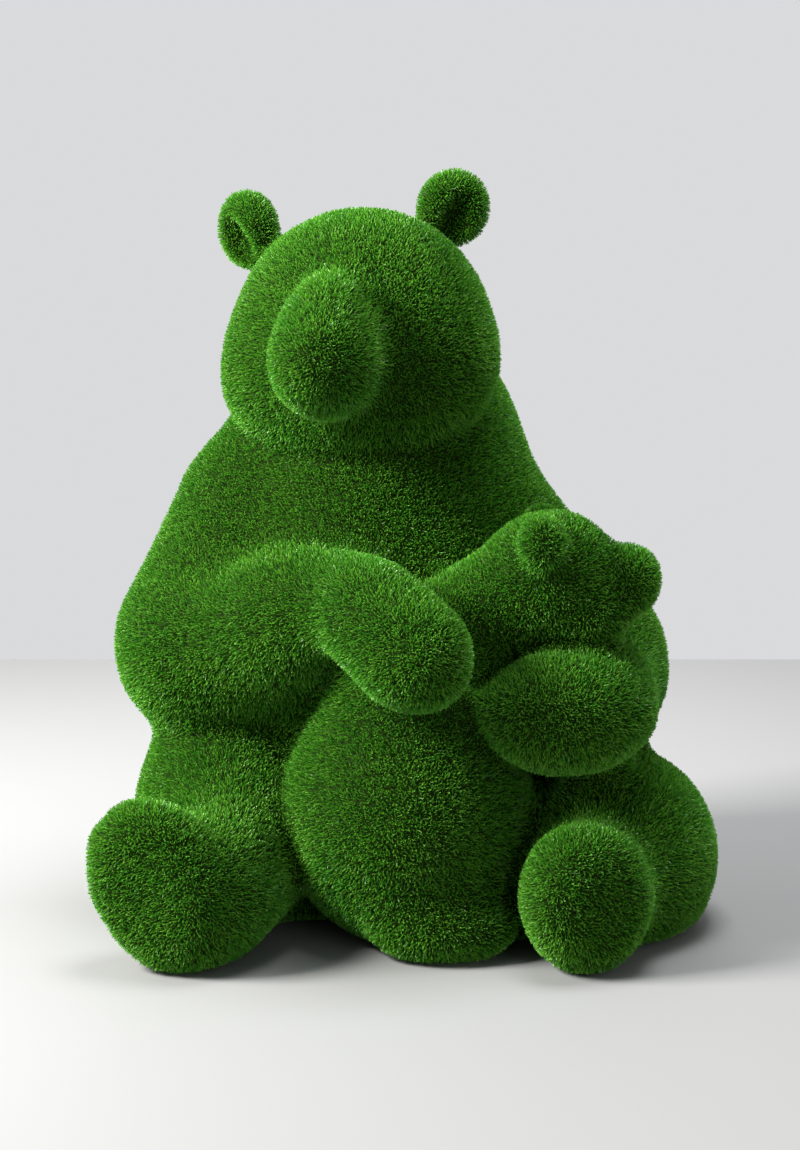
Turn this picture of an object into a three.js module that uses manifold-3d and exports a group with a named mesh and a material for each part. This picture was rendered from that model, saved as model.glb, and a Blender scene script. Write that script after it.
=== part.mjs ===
// A sitting panda that hugs its cub: a garden figure, moulded in one piece and covered in artificial turf.
// The panda faces -Y and rests on the ground at z = 0. The cub sits between its legs with its back to the
// front and its head turned to +X. Left and right are the panda's own: its right side is at -X.
// The solid is the outer form that the tips of the turf make, in millimetres.
import * as THREE from "three";
import { mergeVertices } from "three/addons/utils/BufferGeometryUtils.js";
import Module from "manifold-3d";

// Driving dimensions, in millimetres.
const figureHeight = 1500; // the ground to the top of the higher ear
const bodyFacet = 54; // length of a facet's side on the trunk and limbs
const headFacet = 41.5; // and on the heads, muzzles and the cub
const earFacet = 17; // and on the ears

// The sculpture is given in hundredths of the figure's height: its places, radii and fillets.
const hundredth = figureHeight / 100;
const at = (x, y, z) => new THREE.Vector3(x, y, z).multiplyScalar(hundredth);
const degrees = THREE.MathUtils.degToRad;

// A form is { depth, box }: depth(p) is negative inside it and about the distance to its surface, and box holds it.

// An ellipsoid. turn is [yaw, pitch, roll] in degrees: yaw about Z, then pitch about X, then roll about Y.
function egg(centre, radii, turn = [0, 0, 0]) {
  const [yaw, pitch, roll] = turn.map(degrees);
  const facing = new THREE.Quaternion().setFromEuler(new THREE.Euler(pitch, roll, yaw, "ZXY"));
  const back = facing.clone().invert();
  const local = new THREE.Vector3();
  const slope = new THREE.Vector3();
  const depth = (p) => {
    local.subVectors(p, centre).applyQuaternion(back).divide(radii);
    slope.copy(local).divide(radii);
    const reach = local.length();
    return (reach * (reach - 1)) / Math.max(slope.length(), 1e-6);
  };
  const longest = Math.max(radii.x, radii.y, radii.z);
  const box = new THREE.Box3(centre.clone(), centre.clone()).expandByScalar(longest);
  return { depth, box };
}

// A round limb between two points, whose radius runs evenly from one end to the other.
function limb(from, to, fromShare, toShare) {
  const line = new THREE.Line3(from, to);
  const nearest = new THREE.Vector3();
  const radii = [fromShare * hundredth, toShare * hundredth];
  const depth = (p) => {
    const along = line.closestPointToPointParameter(p, true);
    return p.distanceTo(line.at(along, nearest)) - THREE.MathUtils.lerp(...radii, along);
  };
  const box = new THREE.Box3().setFromPoints([from, to]).expandByScalar(Math.max(...radii));
  return { depth, box };
}

// Forms run together, with the crease between them filled.
function melt(filletShare, ...forms) {
  const fillet = filletShare * hundredth;
  const depth = (p) =>
    forms
      .map((form) => form.depth(p))
      .reduce((a, b) => Math.min(a, b) - Math.max(fillet - Math.abs(a - b), 0) ** 2 / (4 * fillet));
  const box = forms.reduce((all, form) => all.union(form.box), new THREE.Box3());
  return { depth, box };
}

// A form with a hollow pressed into it, whose rim is rounded.
function pressed(form, hollow, roundingShare) {
  const rounding = roundingShare * hundredth;
  const depth = (p) => {
    const a = form.depth(p);
    const b = -hollow.depth(p);
    return Math.max(a, b) + Math.max(rounding - Math.abs(a - b), 0) ** 2 / (4 * rounding);
  };
  return { depth, box: form.box };
}

// A point given in the directions of a turned form, placed from its centre.
function placed(point, centre, turn) {
  const [yaw, pitch, roll] = turn.map(degrees);
  return point.applyEuler(new THREE.Euler(pitch, roll, yaw, "ZXY")).add(centre);
}

// The slope of a form's depth at p.
function slopeAt(form, p, step) {
  const probe = p.clone();
  return new THREE.Vector3(...["x", "y", "z"].map((axis) => {
    probe.copy(p)[axis] += step;
    const ahead = form.depth(probe);
    probe[axis] -= 2 * step;
    return (ahead - form.depth(probe)) / (2 * step);
  }));
}

// The twelve edges of a cell, each from one corner to the next along one axis.
const corners = [0, 1].flatMap((x) => [0, 1].flatMap((y) => [0, 1].map((z) => [x, y, z])));
const cellEdges = corners.flatMap((start) =>
  [0, 1, 2].filter((axis) => start[axis] === 0).map((axis) => [start, start.with(axis, 1)]),
);

// Skins a form with facets of about one cell. Each cell of a grid that the surface crosses gets a point, the
// points are drawn onto the surface, and each grid edge that it crosses joins the four cells around it.
function skin(form, cell) {
  const pullSteps = 3;
  const low = form.box.min.clone().subScalar(1.5 * cell);
  const count = form.box.getSize(new THREE.Vector3()).divideScalar(cell).addScalar(4).ceil();
  const stride = [1, count.x, count.x * count.y];
  const index = (i, j, k) => i + j * stride[1] + k * stride[2];
  const corner = (i, j, k) => new THREE.Vector3(i, j, k).multiplyScalar(cell).add(low);
  const depths = new Float64Array(count.x * count.y * count.z);
  for (let k = 0; k < count.z; k++)
    for (let j = 0; j < count.y; j++)
      for (let i = 0; i < count.x; i++) depths[index(i, j, k)] = form.depth(corner(i, j, k));

  const points = [];
  const pointOf = new Map();
  const pointAt = (i, j, k) => {
    const own = index(i, j, k);
    if (pointOf.has(own)) return pointOf.get(own);
    const crossings = [];
    for (const [start, end] of cellEdges) {
      const before = depths[index(i + start[0], j + start[1], k + start[2])];
      const after = depths[index(i + end[0], j + end[1], k + end[2])];
      if (before < 0 === after < 0) continue;
      const share = before / (before - after);
      crossings.push(new THREE.Vector3(...start).lerp(new THREE.Vector3(...end), share));
    }
    const p = corner(i, j, k);
    crossings.forEach((crossing) => p.addScaledVector(crossing, cell / crossings.length));
    for (let n = 0; n < pullSteps; n++) {
      const slope = slopeAt(form, p, 0.05 * cell);
      p.addScaledVector(slope, -form.depth(p) / Math.max(slope.lengthSq(), 0.1));
    }
    points.push(p);
    pointOf.set(own, points.length - 1);
    return points.length - 1;
  };

  const faces = [];
  for (let k = 1; k < count.z - 1; k++)
    for (let j = 1; j < count.y - 1; j++)
      for (let i = 1; i < count.x - 1; i++)
        for (const axis of [0, 1, 2]) {
          const here = [i, j, k];
          const inside = depths[index(i, j, k)] < 0;
          if (inside === depths[index(i, j, k) + stride[axis]] < 0) continue;
          const [u, v] = [(axis + 1) % 3, (axis + 2) % 3];
          const ring = [[1, 1], [0, 1], [0, 0], [1, 0]].map(([backU, backV]) => {
            const cellBeside = [...here];
            cellBeside[u] -= backU;
            cellBeside[v] -= backV;
            return pointAt(...cellBeside);
          });
          if (!inside) ring.reverse();
          const [a, b, c, d] = ring;
          const shortAC = points[a].distanceTo(points[c]) <= points[b].distanceTo(points[d]);
          faces.push(...(shortAC ? [a, b, c, a, c, d] : [a, b, d, b, c, d]));
        }
  const geometry = new THREE.BufferGeometry();
  geometry.setAttribute("position", new THREE.Float32BufferAttribute(points.flatMap((p) => p.toArray()), 3));
  geometry.setIndex(faces);
  return geometry;
}

// A foot is a thick disc whose sole, towards its own -Y, is pressed nearly flat.
function foot(centre, radii, turn) {
  const pressRadius = 30;
  const soleDepth = 2.5;
  const press = at(0, soleDepth - pressRadius, 0);
  press.y -= radii.y;
  const flat = egg(placed(press, centre, turn), at(pressRadius, pressRadius, pressRadius));
  return pressed(egg(centre, radii, turn), flat, 2);
}

// The panda's trunk: a broad seat, a rounded belly and sloping shoulders, with a stub of a tail behind and
// a lap in front, which fills the ground between the legs on both sides of the cub.
const trunk = melt(
  6,
  egg(at(0.5, 6, 15), at(30, 24, 21)),
  egg(at(-1.5, 5, 35), at(26.5, 21, 24)),
  limb(at(-3.3, 8.5, 60.3), at(-3, 6, 40), 20.9, 26),
);
const tail = egg(at(0, 29.5, 8), at(5.5, 4.5, 5));
const lap = melt(2, egg(at(-11.5, -5.5, 5), at(10, 11, 9)), egg(at(15, -14, 6), at(8, 12, 9)));

// Its right arm hangs to the elbow, crosses in front and bends down over the cub's back.
const rightUpperArm = limb(at(-20.1, 3.5, 54), at(-26.7, -3, 36.5), 10.2, 11.2);
const rightForearm = melt(
  4,
  limb(at(-25.6, -6.5, 35), at(-13.5, -16.5, 40.5), 11.3, 8.6),
  limb(at(-13.5, -16.5, 40.5), at(-6, -24.2, 43.6), 8.6, 6.6),
  limb(at(-24.5, -5, 32.5), at(-15, -10, 34.5), 9.5, 8.5),
);
const rightPaw = limb(at(-3.6, -28.2, 42.4), at(1.9, -33.2, 37.8), 7.2, 7.5);

// Its left arm goes round behind the cub, and the forearm comes forward under the cub's head.
const leftUpperArm = limb(at(9, 8, 52), at(24, -2, 35.8), 11, 10.7);
const leftForearm = melt(
  4,
  limb(at(24.9, -6, 31.6), at(24, -17.5, 30.6), 11.1, 8.8),
  egg(at(20.6, -26, 30), at(12, 8.7, 8.1), [24, 0, 0]),
);

// Its right leg is stretched out to the side and front, and the foot leans outwards on its heel.
const rightThigh = egg(at(-23.2, -3, 12), at(13.2, 19, 17), [6, 0, 0]);
const rightCalf = limb(at(-21.5, -13, 11), at(-23.4, -30, 8.2), 11.6, 8.8);
const rightFoot = foot(at(-28.9, -34.2, 10.4), at(9.1, 7, 11.6), [-22, 4, -28]);

// Its left leg is bent, with a round haunch, and the foot stands upright in front of it.
const leftHaunch = egg(at(28.2, -10.3, 8.8), at(14.1, 19, 14.2), [-6, 0, 0]);
const leftCalf = limb(at(26, -18, 9), at(22.5, -31, 8.6), 11, 8);
const leftFoot = foot(at(22.2, -34.6, 8.8), at(8.5, 7.2, 9.6), [24, 0, -6]);

const rightArm = melt(1.5, melt(5, rightUpperArm, rightForearm), rightPaw);
const leftArm = melt(5, leftUpperArm, leftForearm);
const rightLeg = melt(3, rightThigh, rightCalf, rightFoot);
const leftLeg = melt(2.5, leftHaunch, leftCalf, leftFoot);
const body = melt(1.9, melt(6, trunk, leftUpperArm, rightUpperArm), rightLeg, leftLeg, rightArm, leftArm, tail, lap);

// The panda's head looks down and to its right: a round crown, broad cheeks and a blunt muzzle.
const gaze = [-14, 8, -5];
const head = melt(
  5,
  egg(at(-5, -2, 77.6), at(17.4, 15, 16.6), gaze),
  egg(at(-5.6, -4.5, 72.1), at(18.7, 13.8, 13.4), gaze),
);
const muzzle = melt(
  3,
  egg(at(-9.3, -19.8, 73.4), at(7.5, 9, 7.9), gaze),
  egg(at(-8.5, -16.8, 78.3), at(5.7, 7.2, 6.8), gaze),
);
const face = melt(1, head, muzzle);

// An ear is a thick disc with a hollow pressed into its front, towards its root.
function ear(centre, radius, thickness, turn) {
  const disc = egg(centre, at(radius, thickness / 2, radius * 1.04), turn);
  const front = placed(at(0, -thickness * 0.5, -radius * 0.3), centre, turn);
  return pressed(disc, egg(front, at(radius * 0.34, thickness * 0.44, radius * 0.7), turn), 0.8);
}
const rightEar = ear(at(-20.6, 3.5, 91.7), 5.5, 7.6, [-52, 6, -30]);
const leftEar = ear(at(7.2, 2, 94.5), 5.3, 7.6, [14, 6, 26]);

// The cub sits with its back to the front: a round rump, a back that narrows upwards, and a stub of a tail.
// Its head has round cheeks, a blunt snout and two small ears.
const cubRump = egg(at(0.9, -16.8, 14.8), at(16.2, 18.7, 16.4), [0, 0, -12]);
const cubBack = melt(
  4,
  limb(at(1, -16, 20), at(1.8, -19, 34), 14.5, 11),
  limb(at(4.6, -17, 34.5), at(10, -18.8, 42), 10, 6.4),
);
const cubTail = egg(at(5.8, -29.8, 3.5), at(9.4, 5.4, 4.3), [8, 0, 0]);
const cubSkull = egg(at(19.7, -18.8, 46), at(8.3, 9.4, 8.9));
const cubCheek = egg(at(23.2, -20.5, 42), at(6.4, 7.2, 5.2));
const cubNeck = limb(at(9, -19.5, 41), at(17, -19, 45), 6.2, 8.2);
const cubSnout = egg(at(29.2, -20.8, 46.1), at(4.1, 5.5, 5));
const cubHead = melt(1, melt(3, cubSkull, cubNeck), cubCheek, cubSnout);
const cub = melt(1.8, melt(4, cubRump, cubBack, cubTail), cubHead);
const cubNearEar = egg(at(17.4, -27.2, 50.8), at(3.4, 3.3, 4.2), [-10, 0, -6]);
const cubFarEar = egg(at(18.4, -12.4, 52), at(3.1, 2.4, 3.6), [10, 0, -6]);

const wasm = await Module();
wasm.setup();

// A closed geometry as a solid, for joining and cutting.
function solid(geometry) {
  const bare = new THREE.BufferGeometry().setAttribute("position", geometry.getAttribute("position"));
  const merged = mergeVertices(bare.setIndex(geometry.index), 1e-4);
  return new wasm.Manifold(
    new wasm.Mesh({
      numProp: 3,
      vertProperties: merged.getAttribute("position").array,
      triVerts: new Uint32Array(merged.index.array),
    }),
  );
}

// Two sheets of a skin can meet in one point. Each sheet's point is drawn in by `gap`, so that they part.
function partSheets(geometry, gap) {
  geometry.computeVertexNormals();
  const { position, normal } = geometry.attributes;
  const place = (i) => [position.getX(i), position.getY(i), position.getZ(i)].map((v) => v.toFixed(3)).join();
  const sharing = new Map();
  for (let i = 0; i < position.count; i++) sharing.set(place(i), [...(sharing.get(place(i)) ?? []), i]);
  for (const points of sharing.values()) {
    if (points.length === 1) continue;
    for (const i of points) {
      const own = new THREE.Vector3().fromBufferAttribute(position, i);
      const outward = new THREE.Vector3().fromBufferAttribute(normal, i);
      position.setXYZ(i, ...own.addScaledVector(outward, -gap).toArray());
    }
  }
}

// The forms are joined into one moulding and cut off flat where they meet the ground.
const earForms = [rightEar, leftEar, cubNearEar, cubFarEar];
const moulding = [
  skin(body, bodyFacet),
  skin(face, headFacet),
  skin(cub, headFacet),
  ...earForms.map((form) => skin(form, earFacet)),
].map(solid).reduce((all, one) => all.add(one));
const earth = new THREE.BoxGeometry(2 * figureHeight, 2 * figureHeight, figureHeight);
earth.translate(0, 0, -figureHeight / 2);
const joined = moulding.subtract(solid(earth)).getMesh();

const geometry = new THREE.BufferGeometry();
geometry.setAttribute("position", new THREE.Float32BufferAttribute(joined.vertProperties, joined.numProp));
geometry.setIndex(new THREE.BufferAttribute(joined.triVerts, 1));
// The origin is on the ground, under the middle of the figure's box.
geometry.computeBoundingBox();
const middle = geometry.boundingBox.getCenter(new THREE.Vector3());
geometry.translate(-middle.x, -middle.y, 0);
partSheets(geometry, 0.2);
geometry.computeVertexNormals();

const turf = new THREE.MeshStandardMaterial({ color: 0x2f7a16, roughness: 0.9, metalness: 0 });
const panda = new THREE.Mesh(geometry, turf);
panda.name = "panda_with_cub";

const figure = new THREE.Group();
figure.add(panda);

export default figure;
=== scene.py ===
# %% [markdown]
# # A topiary panda with its cub
# The real figure is a hollow moulded shell with artificial turf glued all over it. So the model has two
# layers: a dark backing skin, and a pile of real blades that stand on it. The shape comes from the CAD
# solid, whose surface is where the tips of the pile end.

import math

import bmesh
import bpy
from mathutils import Euler, Matrix, Vector


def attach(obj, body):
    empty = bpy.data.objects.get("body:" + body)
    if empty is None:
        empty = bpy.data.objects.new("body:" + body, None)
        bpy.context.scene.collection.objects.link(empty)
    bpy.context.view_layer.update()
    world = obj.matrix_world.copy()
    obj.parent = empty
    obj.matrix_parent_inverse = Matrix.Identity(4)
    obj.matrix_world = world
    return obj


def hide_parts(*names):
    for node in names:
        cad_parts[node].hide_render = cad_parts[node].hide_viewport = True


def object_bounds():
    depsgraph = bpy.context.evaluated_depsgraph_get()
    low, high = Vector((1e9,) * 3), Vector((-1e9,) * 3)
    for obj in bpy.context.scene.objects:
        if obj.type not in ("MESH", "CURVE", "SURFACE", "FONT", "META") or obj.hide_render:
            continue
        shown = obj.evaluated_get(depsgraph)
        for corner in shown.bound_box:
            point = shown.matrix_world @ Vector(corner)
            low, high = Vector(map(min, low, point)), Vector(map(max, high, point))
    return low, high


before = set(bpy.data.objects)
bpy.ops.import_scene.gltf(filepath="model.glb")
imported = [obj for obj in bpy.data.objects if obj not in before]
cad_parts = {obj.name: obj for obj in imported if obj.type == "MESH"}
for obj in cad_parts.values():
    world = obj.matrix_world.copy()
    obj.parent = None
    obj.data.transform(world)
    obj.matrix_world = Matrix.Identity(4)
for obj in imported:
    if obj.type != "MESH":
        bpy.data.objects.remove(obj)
cad_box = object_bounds()
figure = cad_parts["panda_with_cub"]
figure_height = cad_box[1][2] - cad_box[0][2]
print("the figure is", round(figure_height, 3), "m high and has", len(figure.data.polygons), "facets")

# %% [markdown]
# ## Camera
# The photograph was taken from the front, from about four metres away and a little above the middle of
# the figure. A camera that is further away would flatten the paws and feet, which reach towards it.

# %% Camera
camera_place = Vector((-0.027, -3.743, 1.0))
camera_tilt = math.radians(4.95)
camera_lens = 58.2


def add_camera():
    """The camera looks along +Y, tilted down."""
    camera = bpy.data.objects.new("camera", bpy.data.cameras.new("camera"))
    camera.data.lens = camera_lens
    camera.data.sensor_width = 36
    camera.location = camera_place
    camera.rotation_euler = Euler((math.pi / 2 - camera_tilt, 0, 0))
    bpy.context.scene.collection.objects.link(camera)
    bpy.context.scene.camera = camera
    return camera


print("camera at", tuple(add_camera().location))

# %% [markdown]
# ## Floor
# The figure sits on a plain pale floor. One square face is enough for it, because nothing shows its
# thickness. Its paint gets lighter towards the back, where less light reaches it, so that the whole floor
# looks about as pale as the wall. More lights at the back would do that too, but they would also change the
# figure.

# %% Floor
floor_reach = 3.8
near_paint, far_paint = 0.30, 0.62


def floor_material():
    """Pale paint that gets lighter from the figure to the back edge."""
    paint = bpy.data.materials.new("pale_floor")
    paint.use_nodes = True
    tree = paint.node_tree
    surface = tree.nodes["Principled BSDF"]
    place = tree.nodes.new("ShaderNodeTexCoord")
    parts = tree.nodes.new("ShaderNodeSeparateXYZ")
    back = tree.nodes.new("ShaderNodeMapRange")
    back.inputs["From Min"].default_value = 0.0
    back.inputs["From Max"].default_value = floor_reach
    back.inputs["To Min"].default_value = near_paint
    back.inputs["To Max"].default_value = far_paint
    tree.links.new(place.outputs["Object"], parts.inputs["Vector"])
    tree.links.new(parts.outputs["Y"], back.inputs["Value"])
    tree.links.new(back.outputs["Result"], surface.inputs["Base Color"])
    surface.inputs["Roughness"].default_value = 0.6
    return paint


def add_floor():
    """A plain pale square, which is not part of the object."""
    bm = bmesh.new()
    bmesh.ops.create_grid(bm, x_segments=1, y_segments=1, size=floor_reach)
    mesh = bpy.data.meshes.new("floor")
    bm.to_mesh(mesh)
    bm.free()
    floor = bpy.data.objects.new("floor", mesh)
    bpy.context.scene.collection.objects.link(floor)
    mesh.materials.append(floor_material())
    return floor


print("floor of", len(add_floor().data.vertices), "corners")

# %% [markdown]
# ## Light
# The room is bright and soft. A light from the upper left, like a window, and one from above make the crowns
# of the forms light and let the creases go dark. A weak fill from the front right opens the shadows a
# little. One strong light in front would be simpler, but it would flatten the forms.

# %% Light
lights = {
    "window": {"place": (-3.4, -1.25, 2.8), "size": 1.5, "watts": 520, "color": (1.0, 0.99, 0.95)},
    "ceiling": {"place": (0.5, 0.0, 4.6), "size": 2.0, "watts": 185, "color": (0.97, 0.99, 1.0)},
    "front_fill": {"place": (1.7, -3.6, 1.0), "size": 2.0, "watts": 20, "color": (0.97, 0.99, 1.0)},
}


def add_light(name, place, size, watts, color):
    """A square soft light that is turned towards the figure's middle."""
    light = bpy.data.objects.new(name, bpy.data.lights.new(name, "AREA"))
    light.data.size = size
    light.data.energy = watts
    light.data.color = color
    light.location = place
    aim = Vector((0, 0, figure_height / 2)) - Vector(place)
    light.rotation_euler = aim.to_track_quat("-Z", "Y").to_euler()
    bpy.context.scene.collection.objects.link(light)


for light_name, light in lights.items():
    add_light(light_name, **light)
print("lights:", ", ".join(lights))

# %% [markdown]
# ## Wall and room
# The wall behind the figure is the brightest large surface, and the rest of the room is dimmer, so the
# blades are darker towards the camera than at the outline. An evenly lit world would be the shortest way,
# but it would fill the creases with light. So the world's strength rises towards the back.

# %% Wall and room
wall_light, room_light = 0.70, 0.17
wall_edge = 0.7


def add_world():
    """A pale wall behind the figure, and a dimmer room on the other sides."""
    world = bpy.data.worlds.new("pale_room")
    world.use_nodes = True
    tree = world.node_tree
    place = tree.nodes.new("ShaderNodeTexCoord")
    parts = tree.nodes.new("ShaderNodeSeparateXYZ")
    wall = tree.nodes.new("ShaderNodeMapRange")
    wall.inputs["From Min"].default_value = 0.0
    wall.inputs["From Max"].default_value = wall_edge
    wall.inputs["To Min"].default_value = room_light
    wall.inputs["To Max"].default_value = wall_light
    tree.links.new(place.outputs["Generated"], parts.inputs["Vector"])
    tree.links.new(parts.outputs["Y"], wall.inputs["Value"])
    tree.nodes["Background"].inputs["Color"].default_value = (1.0, 1.005, 1.025, 1)
    tree.links.new(wall.outputs["Result"], tree.nodes["Background"].inputs["Strength"])
    bpy.context.scene.world = world


add_world()
bpy.context.scene.view_settings.view_transform = "Standard"
print("wall of strength", wall_light, "and room of strength", room_light)

# %% [markdown]
# ## The smooth form
# The CAD solid has flat facets, about 5 cm long on the trunk. A copy of it is merged into one skin and
# subdivided, which rounds the facets away, and then remeshed into even faces, so that the turf can be
# planted evenly on it. Sculpting it by hand would give the same form but not from code.

# %% Helpers for meshes
def add_object(name, mesh):
    """A new object that holds a mesh and sits at the origin."""
    new = bpy.data.objects.new(name, mesh)
    bpy.context.scene.collection.objects.link(new)
    return new


def apply_modifiers(piece):
    """Replaces a piece's mesh by what its modifiers make of it."""
    evaluated = piece.evaluated_get(bpy.context.evaluated_depsgraph_get())
    made = bpy.data.meshes.new_from_object(evaluated)
    piece.modifiers.clear()
    spent = piece.data
    piece.data = made
    bpy.data.meshes.remove(spent)
    made.name = piece.name


def triangles(piece):
    """How many triangles a piece's faces come to."""
    return sum(len(face.vertices) - 2 for face in piece.data.polygons)


# %% Smooth form
subdivisions = 2


def smooth_form(name, voxel, relaxing):
    """The figure's outer form, with its facets rounded away and faces of about one voxel."""
    bm = bmesh.new()
    bm.from_mesh(figure.data)
    bmesh.ops.remove_doubles(bm, verts=bm.verts, dist=1e-5)
    mesh = bpy.data.meshes.new(name)
    bm.to_mesh(mesh)
    bm.free()
    form = add_object(name, mesh)
    rounding = form.modifiers.new("rounding", "SUBSURF")
    rounding.levels = subdivisions
    rounding.render_levels = subdivisions
    remesh = form.modifiers.new("even_faces", "REMESH")
    remesh.mode = "VOXEL"
    remesh.voxel_size = voxel
    relax = form.modifiers.new("relax", "SMOOTH")
    relax.factor = 0.5
    relax.iterations = relaxing
    apply_modifiers(form)
    form.data.shade_smooth()
    return form


tip_form = smooth_form("tip_form", voxel=0.010, relaxing=4)
print("the form has", len(tip_form.data.polygons), "faces")

# %% [markdown]
# ## Backing
# Turf is sold on a dark woven backing, and that is what shows between the blades. The backing lies one
# pile depth inside the tips. It is the smooth form again, each point moved inwards along its normal, and
# then with fewer faces, because little of it is seen. A Displace modifier would move the points too, but the
# underside would rise with them, and it has to stay flat on the ground, as on the real shell.

# %% Backing skin
pile_depth = 0.012
ground_band = 0.002
backing_share = 0.30


def add_backing():
    """The skin that the blades stand on."""
    backing = add_object("backing", tip_form.data.copy())
    bm = bmesh.new()
    bm.from_mesh(backing.data)
    bm.normal_update()
    inward = [vertex.normal * -pile_depth for vertex in bm.verts]
    for vertex, move in zip(bm.verts, inward):
        if vertex.co.z < ground_band:
            move.z = 0
        vertex.co += move
        vertex.co.z = max(vertex.co.z, 0)
    bmesh.ops.recalc_face_normals(bm, faces=bm.faces)
    bm.to_mesh(backing.data)
    bm.free()
    fewer = backing.modifiers.new("fewer_faces", "DECIMATE")
    fewer.ratio = backing_share
    apply_modifiers(backing)
    backing.data.shade_smooth()
    return backing


backing = add_backing()
print("the backing has", triangles(backing), "triangles")

# %% [markdown]
# ## One tuft
# A machine stitches turf in tufts of a few narrow blades, which lean apart. One tuft is modelled here and
# planted many thousand times, so it has very few faces: each blade is one flat strip, cut off straight as
# the pile is after shearing, which takes two triangles. A bent blade with a rib would be truer close up, but
# it would cost several times as many faces, and then the tufts would have to stand further apart.

# %% Tuft
blade_length = 0.0134
blade_width = 0.0017
blade_leans = (math.radians(9), math.radians(19), math.radians(29))
blade_lengths = (1.0, 0.95, 0.88)
root_spread = 0.0012


def add_blade(bm, uv_layer, turn, lean, length, share):
    """A flat strip with its root on the ground and a straight cut at the top."""
    blade = bmesh.ops.create_grid(bm, x_segments=1, y_segments=1, size=0.5)["verts"]
    for vertex in blade:
        along = vertex.co.y + 0.5
        width = blade_width * (0.7 + 0.3 * along)
        vertex.co = Vector((vertex.co.x * width, 0, along * length * blade_length))
    for face in {face for vertex in blade for face in vertex.link_faces}:
        for loop in face.loops:
            loop[uv_layer].uv = (share, 1.0 if loop.vert.co.z > blade_length / 2 else 0.0)
    place = Matrix.Rotation(turn, 3, "Z") @ Matrix.Rotation(-lean, 3, "X")
    bmesh.ops.rotate(bm, verts=blade, matrix=place)
    bmesh.ops.translate(bm, verts=blade, vec=Matrix.Rotation(turn, 3, "Z") @ Vector((0, root_spread, 0)))


def add_tuft():
    """A tuft of blades that lean apart."""
    bm = bmesh.new()
    uv_layer = bm.loops.layers.uv.new("blade")
    count = len(blade_leans)
    for number, (lean, length) in enumerate(zip(blade_leans, blade_lengths)):
        add_blade(bm, uv_layer, 2 * math.pi * number / count, lean, length, (number + 0.5) / count)
    mesh = bpy.data.meshes.new("tuft")
    bm.to_mesh(mesh)
    bm.free()
    return add_object("tuft", mesh)


tuft = add_tuft()
print("a tuft has", triangles(tuft), "triangles")

# %% [markdown]
# ## Yarn
# Polyethylene blades are a little glossy and let some light through, so their tips glow where the light
# falls from behind. Their colour is painted darker at the root, as painted shade where the light does not
# reach, and the yarn is a blend of two greens. One flat green would look like felt. So the colour follows
# the blade's own map, from root to tip, each tuft has its own shade, and a broad noise makes the patches
# where the turf is more worn.

# %% Material helpers
def new_material(name):
    """A material with nodes, its node tree and its shader."""
    made = bpy.data.materials.new(name)
    made.use_nodes = True
    return made, made.node_tree, made.node_tree.nodes["Principled BSDF"]


def ramp(tree, stops):
    """A colour ramp with (position, colour) stops."""
    node = tree.nodes.new("ShaderNodeValToRGB")
    while len(node.color_ramp.elements) < len(stops):
        node.color_ramp.elements.new(0.5)
    for element, (position, color) in zip(node.color_ramp.elements, stops):
        element.position = position
        element.color = (*color, 1)
    return node


def mix_colors(tree, kind, share, first, second):
    """Mixes two colour sockets, by a number or a socket."""
    node = tree.nodes.new("ShaderNodeMix")
    node.data_type = "RGBA"
    node.blend_type = kind
    if isinstance(share, float):
        node.inputs[0].default_value = share
    else:
        tree.links.new(share, node.inputs[0])
    tree.links.new(first, node.inputs[6])
    tree.links.new(second, node.inputs[7])
    return node.outputs[2]


# %% Turf material
# Both ramps run from root to tip; their dark root end is painted shade, where the pile shadows itself.
deep_green = (
    (0.0, (0.012, 0.042, 0.003)),
    (0.5, (0.024, 0.160, 0.004)),
    (1.0, (0.048, 0.310, 0.012)),
)
fresh_green = (
    (0.0, (0.018, 0.055, 0.004)),
    (0.5, (0.075, 0.265, 0.007)),
    (1.0, (0.210, 0.540, 0.050)),
)
patches_per_metre = 5.0
patch_strength = 0.9
deep_excess = 0.45
yarn_roughness = 0.42
light_through = 0.3


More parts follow.
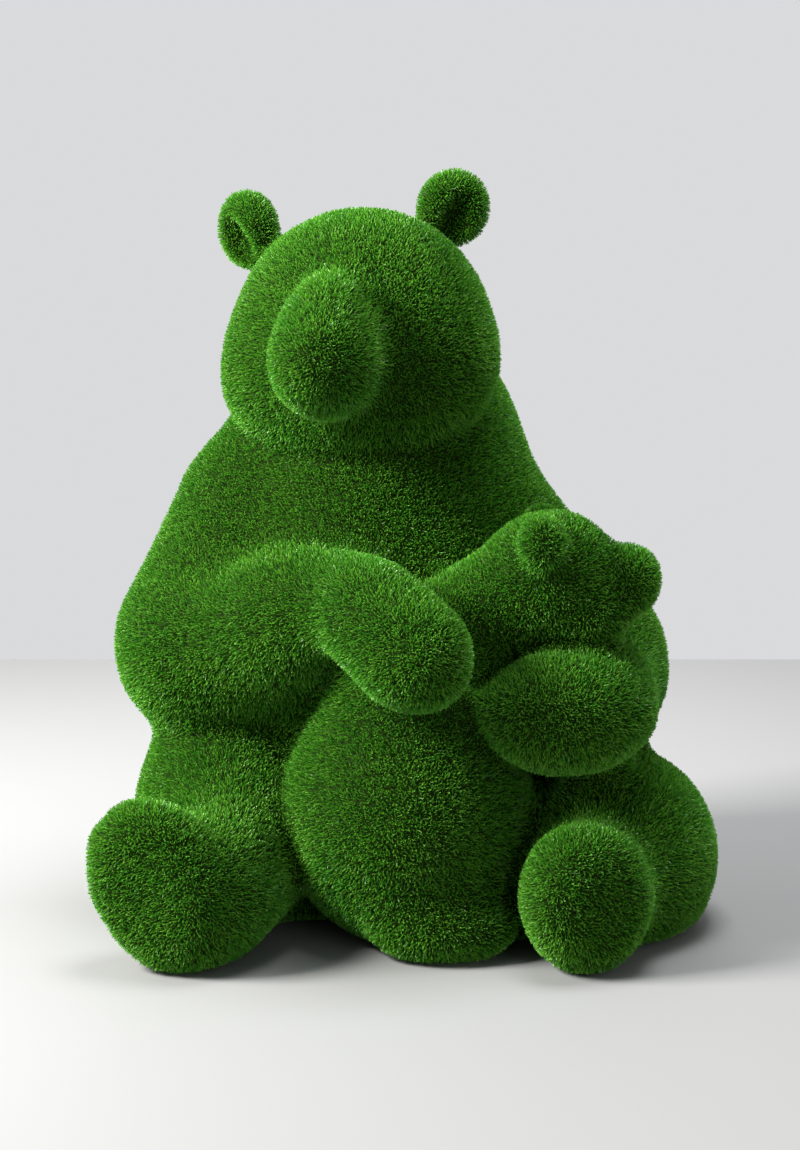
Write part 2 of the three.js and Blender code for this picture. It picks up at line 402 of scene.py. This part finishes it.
def turf_material():
    """Green yarn with painted shade at the root, in two blended greens with broad worn patches."""
    made, tree, surface = new_material("turf_yarn")
    blade_map = tree.nodes.new("ShaderNodeUVMap")
    blade_map.uv_map = "blade"
    along = tree.nodes.new("ShaderNodeSeparateXYZ")
    tree.links.new(blade_map.outputs["UV"], along.inputs["Vector"])
    deep = ramp(tree, deep_green)
    fresh = ramp(tree, fresh_green)
    tree.links.new(along.outputs["Y"], deep.inputs["Fac"])
    tree.links.new(along.outputs["Y"], fresh.inputs["Fac"])
    shade = tree.nodes.new("ShaderNodeAttribute")
    shade.attribute_name = "shade"
    place = tree.nodes.new("ShaderNodeTexCoord")
    patches = tree.nodes.new("ShaderNodeTexNoise")
    patches.inputs["Scale"].default_value = patches_per_metre
    patches.inputs["Detail"].default_value = 3.0
    tree.links.new(place.outputs["Object"], patches.inputs["Vector"])
    blend = tree.nodes.new("ShaderNodeMath")
    blend.operation = "MULTIPLY_ADD"
    tree.links.new(patches.outputs["Fac"], blend.inputs[0])
    blend.inputs[1].default_value = patch_strength
    tree.links.new(shade.outputs["Fac"], blend.inputs[2])
    centred = tree.nodes.new("ShaderNodeMath")
    centred.operation = "SUBTRACT"
    centred.inputs[1].default_value = deep_excess
    centred.use_clamp = True
    tree.links.new(blend.outputs[0], centred.inputs[0])
    color = mix_colors(tree, "MIX", centred.outputs[0], deep.outputs["Color"], fresh.outputs["Color"])
    tree.links.new(color, surface.inputs["Base Color"])
    surface.inputs["Roughness"].default_value = yarn_roughness
    surface.inputs["Specular IOR Level"].default_value = 0.5
    through = tree.nodes.new("ShaderNodeBsdfTranslucent")
    tree.links.new(color, through.inputs["Color"])
    shared = tree.nodes.new("ShaderNodeMixShader")
    shared.inputs["Fac"].default_value = light_through
    tree.links.new(surface.outputs[0], shared.inputs[1])
    tree.links.new(through.outputs[0], shared.inputs[2])
    tree.links.new(shared.outputs[0], tree.nodes["Material Output"].inputs["Surface"])
    return made


yarn = turf_material()
tuft.data.materials.append(yarn)
print("the tuft's material is", yarn.name)

# %% [markdown]
# ## Finish of the backing
# The backing is a coarse dark cloth with dried glue on it. Its colour is kept very dark, partly as the
# cloth's own colour and partly as painted shade, so that the gaps between the tufts and the creases go dark.
# It is hardly seen, so a fine noise stands for its weave, in the colour and as a low bump. A modelled weave
# would not show between the blades.

# %% Backing material
weave_per_metre = 260.0
weave_height = 0.001


def backing_material():
    """A dark woven backing with dried glue between the tufts, darkened further as painted shade for the
    gaps.
    """
    made, tree, surface = new_material("turf_backing")
    place = tree.nodes.new("ShaderNodeTexCoord")
    weave = tree.nodes.new("ShaderNodeTexNoise")
    weave.inputs["Scale"].default_value = weave_per_metre
    tree.links.new(place.outputs["Object"], weave.inputs["Vector"])
    # The very dark weave colour is partly the cloth's own and partly painted shade in the gaps between the
    # tufts.
    color = ramp(tree, [(0.3, (0.008, 0.020, 0.002)), (0.7, (0.016, 0.042, 0.004))])
    tree.links.new(weave.outputs["Fac"], color.inputs["Fac"])
    tree.links.new(color.outputs["Color"], surface.inputs["Base Color"])
    surface.inputs["Roughness"].default_value = 1.0
    surface.inputs["Specular IOR Level"].default_value = 0.1
    bump = tree.nodes.new("ShaderNodeBump")
    bump.inputs["Strength"].default_value = 0.5
    bump.inputs["Distance"].default_value = weave_height
    tree.links.new(weave.outputs["Fac"], bump.inputs["Height"])
    tree.links.new(bump.outputs["Normal"], surface.inputs["Normal"])
    return made


backing.data.materials.clear()
backing.data.materials.append(backing_material())
print("the backing's material is", backing.data.materials[0].name)

# %% [markdown]
# ## Planting
# Particles and instances would look the same here but would not be exported, so the tufts become real
# mesh. Geometry nodes plant them: points at even distances on the form, moved in to the backing, a tuft on
# each, turned to stand on the surface with a little disorder, and then realized. Blades that would pierce
# the ground are pressed flat on it.

# %% Planting nodes
tuft_spacing = 0.00415
most_tufts_per_square_metre = 90000
disorder = 0.4
least_size, most_size = 0.82, 1.06
ground_gap = 0.001


def planting(seed):
    """A node group that turns a surface into the tufts that stand on it."""
    tree = bpy.data.node_groups.new("planting", "GeometryNodeTree")
    tree.interface.new_socket("Surface", in_out="INPUT", socket_type="NodeSocketGeometry")
    tree.interface.new_socket("Turf", in_out="OUTPUT", socket_type="NodeSocketGeometry")

    def node(kind, **values):
        made = tree.nodes.new(kind)
        for name, value in values.items():
            setattr(made, name, value)
        return made

    def join(output, socket):
        tree.links.new(output, socket)

    surface = node("NodeGroupInput")
    turf = node("NodeGroupOutput")
    points = node("GeometryNodeDistributePointsOnFaces", distribute_method="POISSON")
    points.inputs["Distance Min"].default_value = tuft_spacing
    points.inputs["Density Max"].default_value = most_tufts_per_square_metre
    points.inputs["Seed"].default_value = seed
    join(surface.outputs[0], points.inputs["Mesh"])

    inward = node("ShaderNodeVectorMath", operation="SCALE")
    join(points.outputs["Normal"], inward.inputs[0])
    inward.inputs["Scale"].default_value = -pile_depth
    rooted = node("GeometryNodeSetPosition")
    join(points.outputs["Points"], rooted.inputs["Geometry"])
    join(inward.outputs[0], rooted.inputs["Offset"])

    wander = node("FunctionNodeRandomValue", data_type="FLOAT_VECTOR")
    wander.inputs["Min"].default_value = (-disorder,) * 3
    wander.inputs["Max"].default_value = (disorder,) * 3
    wander.inputs["Seed"].default_value = seed + 1
    leaning = node("ShaderNodeVectorMath", operation="ADD")
    join(points.outputs["Normal"], leaning.inputs[0])
    join(wander.outputs["Value"], leaning.inputs[1])
    upright = node("FunctionNodeAlignRotationToVector", axis="Z")
    join(leaning.outputs[0], upright.inputs["Vector"])
    around = node("FunctionNodeRandomValue", data_type="FLOAT")
    around.inputs[3].default_value = 2 * math.pi
    around.inputs["Seed"].default_value = seed + 2
    spin = node("FunctionNodeAxisAngleToRotation")
    spin.inputs["Axis"].default_value = (0, 0, 1)
    join(around.outputs[1], spin.inputs["Angle"])
    turned = node("FunctionNodeRotateRotation", rotation_space="LOCAL")
    join(upright.outputs["Rotation"], turned.inputs["Rotation"])
    join(spin.outputs["Rotation"], turned.inputs["Rotate By"])

    size = node("FunctionNodeRandomValue", data_type="FLOAT")
    size.inputs[2].default_value = least_size
    size.inputs[3].default_value = most_size
    size.inputs["Seed"].default_value = seed + 3
    model = node("GeometryNodeObjectInfo")
    model.inputs["Object"].default_value = tuft
    planted = node("GeometryNodeInstanceOnPoints")
    join(rooted.outputs["Geometry"], planted.inputs["Points"])
    join(model.outputs["Geometry"], planted.inputs["Instance"])
    join(turned.outputs["Rotation"], planted.inputs["Rotation"])
    join(size.outputs[1], planted.inputs["Scale"])

    shade = node("FunctionNodeRandomValue", data_type="FLOAT")
    shade.inputs["Seed"].default_value = seed + 4
    shaded = node("GeometryNodeStoreNamedAttribute", data_type="FLOAT", domain="INSTANCE")
    shaded.inputs["Name"].default_value = "shade"
    join(planted.outputs["Instances"], shaded.inputs["Geometry"])
    join(shade.outputs[1], shaded.inputs["Value"])
    real = node("GeometryNodeRealizeInstances")
    join(shaded.outputs["Geometry"], real.inputs["Geometry"])

    place = node("GeometryNodeInputPosition")
    parts = node("ShaderNodeSeparateXYZ")
    join(place.outputs[0], parts.inputs[0])
    above = node("ShaderNodeMath", operation="MAXIMUM")
    join(parts.outputs["Z"], above.inputs[0])
    above.inputs[1].default_value = ground_gap
    whole = node("ShaderNodeCombineXYZ")
    join(parts.outputs["X"], whole.inputs["X"])
    join(parts.outputs["Y"], whole.inputs["Y"])
    join(above.outputs[0], whole.inputs["Z"])
    pressed = node("GeometryNodeSetPosition")
    join(real.outputs["Geometry"], pressed.inputs["Geometry"])
    join(whole.outputs[0], pressed.inputs["Position"])
    join(pressed.outputs["Geometry"], turf.inputs[0])
    return tree


print("tufts stand at least", round(tuft_spacing * 1000, 2), "mm apart")

# %% [markdown]
# ## Bands
# On the real figure the turf is glued on in pieces. A single mesh with all the blades would be slow to
# handle here too, so the turf is planted in five bands of about the same area, from the seat to the head.

# %% Bands
band_names = ("seat", "lap", "belly", "shoulders", "head")


def band_heights(form, count):
    """Heights that part a form's upright faces into bands of equal area."""
    faces = sorted((face.center.z, face.area) for face in form.data.polygons)
    total = sum(area for _, area in faces)
    heights = []
    passed = 0
    for height, area in faces:
        passed += area
        if len(heights) < count - 1 and passed >= total * (len(heights) + 1) / count:
            heights.append(height)
    return heights


def clear_underside(form):
    """Removes the faces that lie on the ground, where nothing is planted."""
    bm = bmesh.new()
    bm.from_mesh(form.data)
    lying = [face for face in bm.faces if face.calc_center_median().z < ground_band and face.normal.z < -0.9]
    bmesh.ops.delete(bm, geom=lying, context="FACES")
    bm.to_mesh(form.data)
    bm.free()
    return len(lying)


def band_of(form, name, low, high):
    """The part of a form between two heights, as a new object."""
    bm = bmesh.new()
    bm.from_mesh(form.data)
    for height, side in ((low, {"clear_inner": True}), (high, {"clear_outer": True})):
        everything = [*bm.verts, *bm.edges, *bm.faces]
        bmesh.ops.bisect_plane(bm, geom=everything, plane_co=(0, 0, height), plane_no=(0, 0, 1), **side)
    mesh = bpy.data.meshes.new(name)
    bm.to_mesh(mesh)
    bm.free()
    return add_object(name, mesh)


print("removed", clear_underside(tip_form), "faces from the underside")

# %% Planting the turf
heights = [-1.0, *band_heights(tip_form, len(band_names)), 2 * figure_height]
turf = []
for number, name in enumerate(band_names):
    band = band_of(tip_form, "turf_" + name, heights[number], heights[number + 1])
    band.modifiers.new("planting", "NODES").node_group = planting(seed=10 * number)
    apply_modifiers(band)
    turf.append(band)
    print(band.name, "has", triangles(band), "triangles")

bpy.data.objects.remove(tip_form)
bpy.data.objects.remove(tuft)

# %% [markdown]
# ## Attaching to the body
# Every piece moves with the figure's one body and stands in for the plain solid.

# %% Table
for piece in (backing, *turf):
    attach(piece, "root")
    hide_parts("panda_with_cub")

print("in all", sum(triangles(piece) for piece in (backing, *turf)), "triangles")
